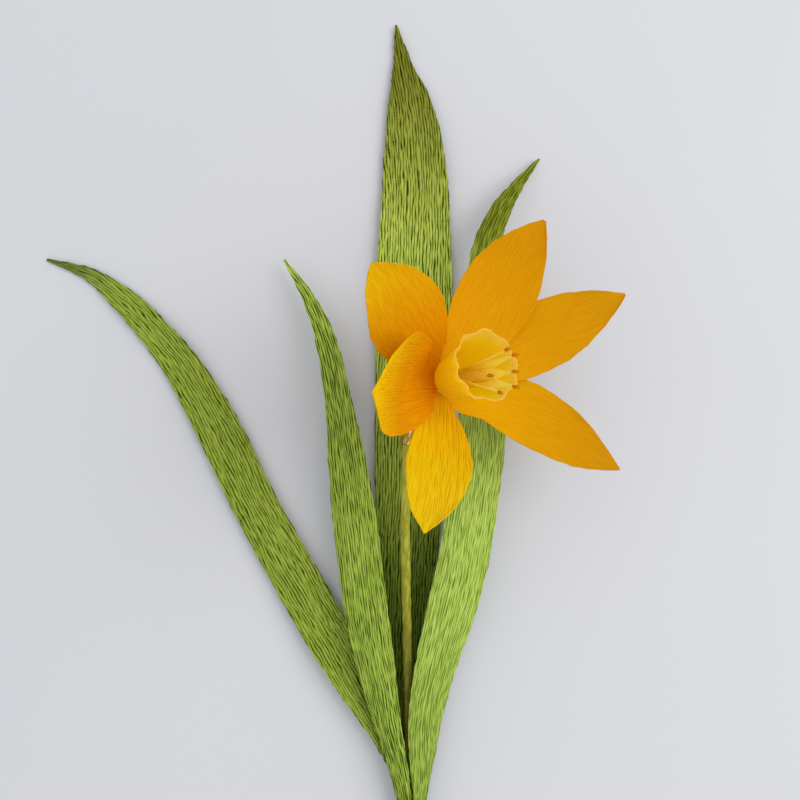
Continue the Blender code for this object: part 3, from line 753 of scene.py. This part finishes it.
def crepe_group():
    """Colour, roughness and fibre height of crepe paper: painted shade darkens the valleys of the crinkle and
    deepens their colour, a painted highlight makes its ridges paler, and there are soft patches where the dye
    took unevenly and fine fibres along it."""
    group = bpy.data.node_groups.new("crepe paper", "ShaderNodeTree")
    socket(group, "Foot Colour", "NodeSocketColor", "INPUT", (0.8, 0.8, 0.8, 1.0))
    socket(group, "Middle Colour", "NodeSocketColor", "INPUT", (0.8, 0.8, 0.8, 1.0))
    socket(group, "Tip Colour", "NodeSocketColor", "INPUT", (0.8, 0.8, 0.8, 1.0))
    socket(group, "Painted Shade Tint", "NodeSocketColor", "INPUT", (0.3, 0.3, 0.3, 1.0))
    socket(group, "Painted Highlight Tint", "NodeSocketColor", "INPUT", (1.2, 1.2, 1.2, 1.0))
    socket(group, "Foot Start", "NodeSocketFloat", "INPUT", 0.0)
    socket(group, "Foot End", "NodeSocketFloat", "INPUT", 0.3)
    socket(group, "Tip Start", "NodeSocketFloat", "INPUT", 0.6)
    socket(group, "Tip End", "NodeSocketFloat", "INPUT", 1.0)
    socket(group, "Painted Shade Depth", "NodeSocketFloat", "INPUT", 0.6)
    socket(group, "Painted Highlight Strength", "NodeSocketFloat", "INPUT", 0.3)
    socket(group, "Patches", "NodeSocketFloat", "INPUT", 0.2)
    socket(group, "Across", "NodeSocketFloat", "INPUT", 20.0)
    socket(group, "Along", "NodeSocketFloat", "INPUT", 60.0)
    socket(group, "Crinkle", "NodeSocketFloat", "INPUT", 0.5)
    socket(group, "Paper UV", "NodeSocketVector", "INPUT")
    socket(group, "Colour", "NodeSocketColor", "OUTPUT")
    socket(group, "Roughness", "NodeSocketFloat", "OUTPUT")
    socket(group, "Fibre", "NodeSocketFloat", "OUTPUT")
    given = group.nodes.new("NodeGroupInput").outputs
    result = group.nodes.new("NodeGroupOutput").inputs

    split = group.nodes.new("ShaderNodeSeparateXYZ")
    join(group, given["Paper UV"], split.inputs[0])
    flat = group.nodes.new("ShaderNodeCombineXYZ")
    join(group, math_node(group, "MULTIPLY", split.outputs["X"], given["Across"]), flat.inputs["X"])
    join(group, math_node(group, "MULTIPLY", split.outputs["Y"], given["Along"]), flat.inputs["Y"])

    def noise_at(scale, stretch, detail):
        mapping = group.nodes.new("ShaderNodeMapping")
        mapping.inputs["Scale"].default_value = (scale, scale * stretch, scale)
        join(group, flat.outputs[0], mapping.inputs["Vector"])
        made = group.nodes.new("ShaderNodeTexNoise")
        made.inputs["Scale"].default_value = 1.0
        made.inputs["Detail"].default_value = detail
        join(group, mapping.outputs[0], made.inputs["Vector"])
        return made.outputs["Fac"]

    def share_between(start, end):
        room = math_node(group, "SUBTRACT", given[end], given[start])
        past = math_node(group, "SUBTRACT", split.outputs["Y"], given[start])
        return math_node(group, "DIVIDE", past, room, clamp=True)

    foot_share = share_between("Foot Start", "Foot End")
    tip_share = share_between("Tip Start", "Tip End")
    base = blend_colours(group, foot_share, given["Foot Colour"], given["Middle Colour"])
    base = blend_colours(group, tip_share, base, given["Tip Colour"])

    patch = noise_at(0.09, 0.45, 3.0)
    patch = math_node(group, "MULTIPLY", math_node(group, "SUBTRACT", patch, 0.5), given["Patches"])
    streak = noise_at(1.6, 0.09, 3.0)
    streak = math_node(group, "MULTIPLY", math_node(group, "SUBTRACT", streak, 0.5), 0.30)
    tone = math_node(group, "ADD", math_node(group, "ADD", patch, streak), given["Crinkle"])

    # Painted shade: where the tone is low, in the crinkle's valleys, the valley tint darkens the colour.
    painted_valley_shade = math_node(group, "SUBTRACT", 0.60, tone)
    painted_valley_shade = math_node(group, "MULTIPLY", painted_valley_shade, 2.4, clamp=True)
    painted_valley_shade = math_node(group, "MULTIPLY", painted_valley_shade, given["Painted Shade Depth"], clamp=True)
    # Painted highlight: where the tone is high, on the crinkle's ridges, the ridge tint makes the colour
    # paler.
    painted_ridge_highlight = math_node(group, "SUBTRACT", tone, 0.66)
    painted_ridge_highlight = math_node(group, "MULTIPLY", painted_ridge_highlight, 2.6, clamp=True)
    painted_ridge_highlight = math_node(group, "MULTIPLY", painted_ridge_highlight, given["Painted Highlight Strength"], clamp=True)
    colour = blend_colours(group, painted_valley_shade, base, given["Painted Shade Tint"], "MULTIPLY")
    colour = blend_colours(group, painted_ridge_highlight, colour, given["Painted Highlight Tint"], "MULTIPLY")
    join(group, colour, result["Colour"])

    fibre = noise_at(5.0, 0.12, 4.0)
    join(group, fibre, result["Fibre"])
    rough = math_node(group, "ADD", math_node(group, "MULTIPLY", fibre, 0.18), 0.66)
    join(group, rough, result["Roughness"])
    return group


def paper(name, group, foot, middle, tip, painted_valley_shade, painted_ridge_highlight, size, ends, depths, glow=0.0):
    """A crepe paper finish. size is the piece's flat width and length in millimetres, ends where the foot
    colour starts to fade and has gone and where the tip colour starts and is full, depths the strength of
    the painted shade in the crinkle's valleys, the painted highlight on its ridges and the patches, and glow
    the share of light that comes through. The two tints multiply the colour as that painted shade and that
    painted highlight."""
    made = bpy.data.materials.new(name)
    made.use_nodes = True
    tree = made.node_tree
    shader = tree.nodes["Principled BSDF"]
    crepe_node = tree.nodes.new("ShaderNodeGroup")
    crepe_node.node_tree = group
    colours = (("Foot Colour", foot), ("Middle Colour", middle), ("Tip Colour", tip))
    for label, value in (*colours, ("Painted Shade Tint", painted_valley_shade), ("Painted Highlight Tint", painted_ridge_highlight)):
        crepe_node.inputs[label].default_value = (*value, 1.0)
    labels = ("Across", "Along", "Foot Start", "Foot End", "Tip Start", "Tip End")
    for label, value in zip((*labels, "Painted Shade Depth", "Painted Highlight Strength", "Patches"), (*size, *ends, *depths)):
        crepe_node.inputs[label].default_value = value
    crinkle = tree.nodes.new("ShaderNodeAttribute")
    crinkle.attribute_name = "crinkle"
    join(tree, crinkle.outputs["Fac"], crepe_node.inputs["Crinkle"])
    flat = tree.nodes.new("ShaderNodeUVMap")
    flat.uv_map = "paper"
    join(tree, flat.outputs["UV"], crepe_node.inputs["Paper UV"])
    join(tree, crepe_node.outputs["Colour"], shader.inputs["Base Color"])
    join(tree, crepe_node.outputs["Roughness"], shader.inputs["Roughness"])
    bump = tree.nodes.new("ShaderNodeBump")
    bump.inputs["Strength"].default_value = 0.35
    bump.inputs["Distance"].default_value = 0.0001
    join(tree, crepe_node.outputs["Fibre"], bump.inputs["Height"])
    join(tree, bump.outputs["Normal"], shader.inputs["Normal"])
    shader.inputs["Specular IOR Level"].default_value = 0.03
    if glow > 0.0:
        behind = tree.nodes.new("ShaderNodeBsdfTranslucent")
        join(tree, crepe_node.outputs["Colour"], behind.inputs["Color"])
        join(tree, bump.outputs["Normal"], behind.inputs["Normal"])
        both = tree.nodes.new("ShaderNodeMixShader")
        both.inputs["Fac"].default_value = glow
        join(tree, shader.outputs["BSDF"], both.inputs[1])
        join(tree, behind.outputs["BSDF"], both.inputs[2])
        join(tree, both.outputs["Shader"], tree.nodes["Material Output"].inputs["Surface"])
    return made


def drawn_wire():
    """Bare florist's wire: drawn steel with fine lengthwise scratches and a few dull spots."""
    made = bpy.data.materials.new("drawn_wire")
    made.use_nodes = True
    tree = made.node_tree
    shader = tree.nodes["Principled BSDF"]
    shader.inputs["Metallic"].default_value = 1.0
    where = tree.nodes.new("ShaderNodeTexCoord")
    mapping = tree.nodes.new("ShaderNodeMapping")
    mapping.inputs["Scale"].default_value = (4000.0, 160.0, 4000.0)
    join(tree, where.outputs["Object"], mapping.inputs["Vector"])
    scratches = tree.nodes.new("ShaderNodeTexNoise")
    scratches.inputs["Scale"].default_value = 1.0
    scratches.inputs["Detail"].default_value = 4.0
    join(tree, mapping.outputs[0], scratches.inputs["Vector"])
    rough = math_node(tree, "ADD", math_node(tree, "MULTIPLY", scratches.outputs["Fac"], 0.35), 0.18)
    join(tree, rough, shader.inputs["Roughness"])
    colour = blend_colours(tree, scratches.outputs["Fac"], (0.42, 0.42, 0.43, 1.0), (0.66, 0.66, 0.68, 1.0))
    join(tree, colour, shader.inputs["Base Color"])
    return made


# Finishes: colours at foot, middle and tip, tints of the painted shade and highlight on the crinkle, flat
# size, ends, depths and glow.
# Colours are linear: red, green, blue.
crepe_paper = crepe_group()
# The tints of the painted shade in the valleys and the painted highlight on the ridges multiply the paper's
# colour.
GOLD_PAINTED_SHADE = (0.690, 0.500, 0.500)
GOLD_PAINTED_HIGHLIGHT = (1.040, 1.350, 2.500)

# Each petal's colour at its foot, in its middle and towards its tip, and how strong its crinkle is, with its
# painted shade and highlight. The colours differ from petal to petal partly by dye and partly as painted
# light and shade for how brightly each petal is lit.
PETAL_GOLDS = {
    "petal_1": ((0.850, 0.400, 0.002), (0.800, 0.370, 0.002), (0.740, 0.340, 0.002), 0.8),
    "petal_2": ((0.860, 0.410, 0.002), (0.790, 0.380, 0.002), (0.750, 0.360, 0.003), 0.8),
    "petal_3": ((0.900, 0.480, 0.001), (0.780, 0.380, 0.001), (0.700, 0.320, 0.003), 0.8),
    "petal_4": ((0.940, 0.500, 0.001), (0.850, 0.540, 0.002), (0.880, 0.590, 0.006), 1.7),
    "petal_5": ((0.980, 0.400, 0.001), (0.760, 0.310, 0.001), (0.920, 0.600, 0.002), 1.2),
    "petal_6": ((0.880, 0.350, 0.001), (0.800, 0.360, 0.001), (0.830, 0.480, 0.002), 1.3),
}
petal_finishes = {}
for row in PETALS:
    name = row[0]
    petal_finishes[name] = paper(
        name + "_gold",
        crepe_paper,
        *PETAL_GOLDS[name][:3],
        GOLD_PAINTED_SHADE,
        GOLD_PAINTED_HIGHLIGHT,
        (2 * row[4], row[3]),
        (0.0, 0.50, 0.45, 0.9),
        (0.26 * PETAL_GOLDS[name][3], 0.24 * PETAL_GOLDS[name][3], 0.20),
        0.30,
    )
trumpet_finish = paper(
    "trumpet_yellow",
    crepe_paper,
    (0.990, 0.860, 0.005),
    (0.990, 0.830, 0.030),
    (0.990, 0.800, 0.200),
    (0.960, 0.860, 0.600),
    (1.000, 1.050, 1.500),
    (58.0, 27.0),
    (0.0, 0.55, 0.74, 0.97),
    (0.25, 0.30, 0.15),
    0.75,
)
strip_finish = paper(
    "stamen_yellow",
    crepe_paper,
    (0.990, 0.930, 0.020),
    (0.990, 0.890, 0.160),
    (0.990, 0.860, 0.220),
    (0.980, 0.920, 0.800),
    (1.000, 1.060, 1.250),
    (1.3, 30.0),
    (0.15, 0.45, 0.5, 0.8),
    (0.20, 0.30, 0.15),
    0.70,
)
anther_finish = paper(
    "anther_brown",
    crepe_paper,
    (0.700, 0.290, 0.004),
    (0.600, 0.225, 0.003),
    (0.660, 0.270, 0.006),
    (0.600, 0.520, 0.500),
    (1.250, 1.500, 3.000),
    (3.5, 2.8),
    (0.0, 0.3, 0.6, 1.0),
    (0.60, 0.30, 0.30),
)
# The neck's tip colour is darker than its middle partly as painted shade under the bloom, and partly by dye.
neck_finish = paper(
    "neck_cream",
    crepe_paper,
    (0.800, 0.560, 0.150),
    (0.850, 0.660, 0.260),
    (0.800, 0.540, 0.130),
    (0.450, 0.350, 0.250),
    (1.250, 1.340, 1.600),
    (14.0, 31.0),
    (0.05, 0.3, 0.6, 0.9),
    (1.40, 0.60, 0.60),
)
bract_finish = paper(
    "bract_olive",
    crepe_paper,
    (0.300, 0.260, 0.030),
    (0.450, 0.330, 0.008),
    (0.480, 0.290, 0.006),
    (0.450, 0.420, 0.500),
    (1.400, 1.450, 4.000),
    (8.0, 60.0),
    (0.0, 0.5, 0.7, 1.0),
    (0.60, 0.30, 0.30),
    0.12,
)
# The stem's tip colour is made paler as painted light, against the shadow that the bloom casts on it.
stem_finish = paper(
    "stem_olive",
    crepe_paper,
    (0.095, 0.099, 0.009),
    (0.190, 0.178, 0.022),
    (0.355, 0.345, 0.040),
    (0.430, 0.430, 0.300),
    (1.450, 1.500, 2.500),
    (10.0, 230.0),
    (0.15, 0.42, 0.54, 0.68),
    (0.55, 0.45, 0.30),
)
# Tints of the painted shade in the leaves' crinkle valleys and of the painted highlight on their ridges.
LEAF_PAINTED_SHADE = (0.150, 0.175, 0.100)
LEAF_PAINTED_HIGHLIGHT = (2.100, 1.920, 3.200)
# The tall leaf's foot colour is darkened as painted shade, where the other leaves cover it.
tall_leaf_finish = paper(
    "tall_leaf_green",
    crepe_paper,
    (0.080, 0.116, 0.009),
    (0.285, 0.375, 0.040),
    (0.112, 0.122, 0.008),
    LEAF_PAINTED_SHADE,
    LEAF_PAINTED_HIGHLIGHT,
    (27.0, 310.0),
    (0.44, 0.66, 0.70, 0.92),
    (2.60, 0.95, 0.15),
    0.10,
)
far_left_leaf_finish = paper(
    "far_left_leaf_green",
    crepe_paper,
    (0.205, 0.298, 0.029),
    (0.190, 0.260, 0.024),
    (0.090, 0.125, 0.022),
    LEAF_PAINTED_SHADE,
    LEAF_PAINTED_HIGHLIGHT,
    (16.0, 240.0),
    (0.0, 0.5, 0.88, 0.98),
    (1.40, 0.75, 0.20),
    0.10,
)
left_leaf_finish = paper(
    "left_leaf_green",
    crepe_paper,
    (0.275, 0.390, 0.043),
    (0.262, 0.366, 0.042),
    (0.290, 0.400, 0.048),
    LEAF_PAINTED_SHADE,
    LEAF_PAINTED_HIGHLIGHT,
    (16.0, 240.0),
    (0.0, 0.5, 0.7, 1.0),
    (0.95, 0.65, 0.20),
    0.10,
)
# The right leaf's middle colour is made paler as painted light, against the shadow that the bloom casts on
# it.
right_leaf_finish = paper(
    "right_leaf_green",
    crepe_paper,
    (0.185, 0.275, 0.024),
    (0.370, 0.505, 0.078),
    (0.190, 0.225, 0.016),
    (0.280, 0.320, 0.200),
    (1.750, 1.650, 2.600),
    (17.0, 270.0),
    (0.0, 0.46, 0.74, 0.84),
    (0.80, 0.62, 0.20),
    0.10,
)
band_finish = paper(
    "band_green",
    crepe_paper,
    (0.170, 0.270, 0.030),
    (0.180, 0.290, 0.030),
    (0.170, 0.270, 0.030),
    LEAF_PAINTED_SHADE,
    LEAF_PAINTED_HIGHLIGHT,
    (29.0, 18.0),
    (0.0, 0.3, 0.7, 1.0),
    (0.80, 0.35, 0.30),
)

# The bloom.
for row in PETALS:
    petal(row, petal_finishes[row[0]])
cup(trumpet_finish)
for number, row in enumerate(STAMENS):
    stamen(number, row, strip_finish, anther_finish)

# The stem and what is wound round it.
wound_wrap(
    "neck_wound",
    "neck_wrap",
    NECK_START,
    NECK_END,
    neck_finish,
    rings=110,
    sides=56,
    turns=5.0,
    seam=0.12,
    flare=NECK_FLARE,
    seed=4.0,
)
wound_wrap(
    "stem_wound",
    "stem_wrap",
    0.0,
    NECK_START - FIT_GAP,
    stem_finish,
    rings=420,
    sides=40,
    turns=21.0,
    seam=0.09,
    flare=0.0,
    seed=11.0,
)
strip("bract_crepe", "bract", clasp(), *BRACT_GRID, BRACT_PAPER, FRAME_BRACT, bract_finish, FINE_CRINKLE)
for slot in frame["nodes"]["stem_wire"].material_slots:
    slot.material = drawn_wire()

# The leaves and the band that holds them to the stem. Each leaf's row ends with its grid across and along,
# its finish, its crinkle and the phase of its waves.
binding(band_finish)
LEAVES = (
    ("tall_leaf", TALL_FOOT, TALL_LEAF, 150, 256, tall_leaf_finish, LEAF_CRINKLE, 0.4),
    ("far_left_leaf", FAR_LEFT_FOOT, FAR_LEFT_LEAF, 80, 236, far_left_leaf_finish, LEAF_CRINKLE, 2.0),
    ("left_leaf", LEFT_FOOT, LEFT_LEAF, 116, 206, left_leaf_finish, SIDE_CRINKLE, 1.1),
    ("right_leaf", RIGHT_FOOT, RIGHT_LEAF, 124, 236, right_leaf_finish, SIDE_CRINKLE, 3.0),
)
for name, foot, rows, across, along, finish, crinkle, phase in LEAVES:
    strip(
        name + "_crepe",
        name,
        bound(foot) + rows,
        across,
        along,
        LEAF_PAPER,
        FRAME_LEAF,
        finish,
        crinkle,
        LEAF_WAVE,
        phase,
    )

# Goes over the new meshes that are not frame nodes, and does nothing with them.
for thing in bpy.context.scene.objects:
    if thing.type != "MESH" or thing.name in frame["nodes"]:
        continue


FLOOR_HALF = 3.0
FLOOR_DROP = 0.0003
FLOOR_DARK = (0.578, 0.583, 0.608, 1.0)
FLOOR_LIGHT = (0.612, 0.617, 0.642, 1.0)


def pale_floor():
    """A plain pale floor, a little uneven in tone."""
    made = bpy.data.materials.new("pale_floor")
    made.use_nodes = True
    tree = made.node_tree
    shader = tree.nodes["Principled BSDF"]
    shader.inputs["Roughness"].default_value = 0.95
    shader.inputs["Specular IOR Level"].default_value = 0.1
    where = tree.nodes.new("ShaderNodeTexCoord")
    grain = tree.nodes.new("ShaderNodeTexNoise")
    grain.inputs["Scale"].default_value = 6.0
    grain.inputs["Detail"].default_value = 2.0
    join(tree, where.outputs["Object"], grain.inputs["Vector"])
    colour = blend_colours(tree, grain.outputs["Fac"], FLOOR_DARK, FLOOR_LIGHT)
    join(tree, colour, shader.inputs["Base Color"])
    return made


work = bmesh.new()
bmesh.ops.create_grid(work, x_segments=4, y_segments=4, size=FLOOR_HALF)
for vertex in work.verts:
    vertex.co.z = -FLOOR_DROP
floor_mesh = bpy.data.meshes.new("floor")
work.to_mesh(floor_mesh)
work.free()
floor = bpy.data.objects.new("floor", floor_mesh)
bpy.context.scene.collection.objects.link(floor)
floor_mesh.materials.append(pale_floor())

# The camera looks straight down on the flower from above the middle of the view.
CAMERA_HEIGHT = 285.0
view_from = (Vector((0.0, 0.0, CAMERA_HEIGHT)) + SHIFT) * MM
camera_data = bpy.data.cameras.new("camera")
camera_data.lens = 36.0
camera_data.sensor_width = 36.0
camera_data.clip_start = 0.01
camera_data.clip_end = 20.0
camera = bpy.data.objects.new("camera", camera_data)
camera.location = view_from
bpy.context.scene.collection.objects.link(camera)
bpy.context.scene.camera = camera


def soft_lamp(name, place, aim, size, watts, colour):
    """A square lamp at a place, turned to its aim, with its size and distances in metres."""
    data = bpy.data.lights.new(name, "AREA")
    data.shape = "SQUARE"
    data.size = size
    data.energy = watts
    data.color = colour
    lamp = bpy.data.objects.new(name, data)
    lamp.location = place
    lamp.rotation_mode = "QUATERNION"
    lamp.rotation_quaternion = (Vector(aim) - Vector(place)).to_track_quat("-Z", "Y")
    bpy.context.scene.collection.objects.link(lamp)
    return lamp


soft_lamp(
    "window_light",
    place=(0.85, 0.22, 0.95),
    aim=(0.0, 0.0, 0.0),
    size=0.90,
    watts=7.4,
    colour=(1.0, 0.99, 0.97),
)

world = bpy.data.worlds.new("room")
bpy.context.scene.world = world
world.use_nodes = True
sky = world.node_tree.nodes["Background"]
sky.inputs["Color"].default_value = (0.97, 0.98, 1.0, 1.0)
sky.inputs["Strength"].default_value = 0.89

bpy.context.scene.view_settings.view_transform = "Standard"
